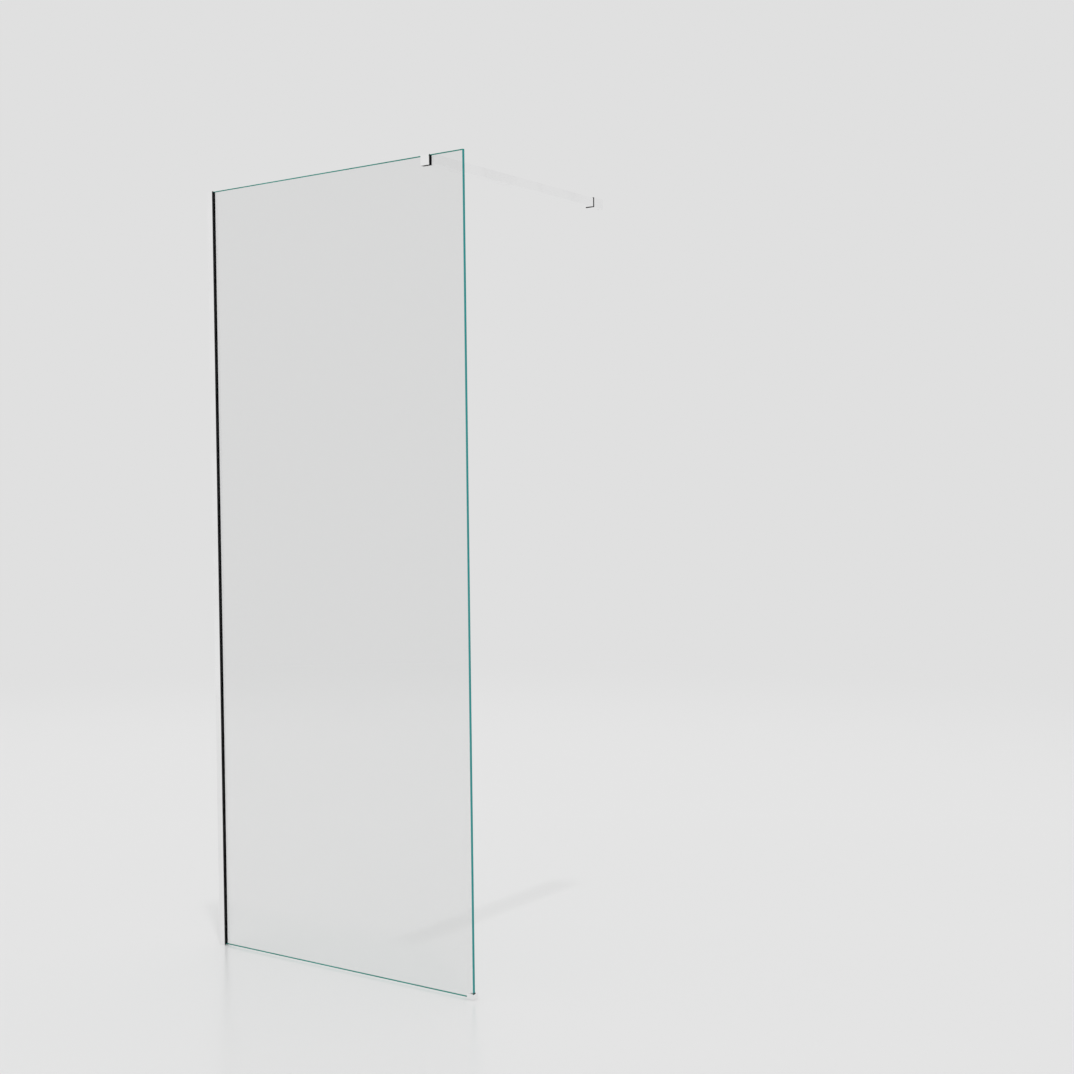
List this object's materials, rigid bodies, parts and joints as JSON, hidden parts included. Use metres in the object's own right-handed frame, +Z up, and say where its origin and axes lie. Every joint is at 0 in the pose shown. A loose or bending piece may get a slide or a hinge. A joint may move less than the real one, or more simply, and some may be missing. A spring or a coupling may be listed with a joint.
{
  "type": "walk-in shower screen",
  "caption": "Frameless clear glass shower screen held in a slim bright wall channel on one side and steadied by a square bar from its top edge to the wall behind.",
  "frame": {"origin": "on the side wall at the floor, in the middle of the glass thickness", "axes": "+X from the side wall along the glass, +Y from the glass to the back wall, +Z up"},
  "size_m": [0.852, 0.7645, 2.0055],
  "materials": {
    "profile_metal": "polished",
    "seal_rubber": "matt black",
    "inner_plastic": "moulded",
    "cap_metal": "polished",
    "clear_glass": "clear, polished edges",
    "fitting_metal": "polished",
    "pad_rubber": "matt black",
    "screw_steel": "plain",
    "bar_metal": "polished",
    "liner_plastic": "matt black"
  },
  "bodies": {
    "profile": {"wall_profile": "profile_metal", "front_seal": "seal_rubber", "rear_seal": "seal_rubber", "glass_guides": "inner_plastic", "glass_support_block": "inner_plastic", "profile_top_cap": "cap_metal"},
    "glass": {"glass_panel": "clear_glass", "clamp_front_plate": "fitting_metal", "clamp_front_pad": "pad_rubber", "clamp_bush": "inner_plastic", "clamp_rear_pad": "pad_rubber", "clamp_rear_plate": "fitting_metal", "clamp_bolt": "screw_steel", "bar_lock_screw": "screw_steel", "support_bar": "bar_metal", "foot_block": "fitting_metal", "foot_liner": "liner_plastic", "foot_lock_screw": "screw_steel"},
    "socket": {"wall_socket": "fitting_metal", "socket_liner": "liner_plastic", "socket_base": "inner_plastic", "socket_lock_screw": "screw_steel"}
  },
  "joints": [
    {"name": "glass_set", "type": "slide", "parent": "profile", "child": "glass", "axis": [1, 0, 0], "range_m": [-0.0015, 0.004]},
    {"name": "socket_slide", "type": "slide", "parent": "glass", "child": "socket", "axis": [0, 1, 0], "range_m": [-0.008, 0.015]}
  ]
}
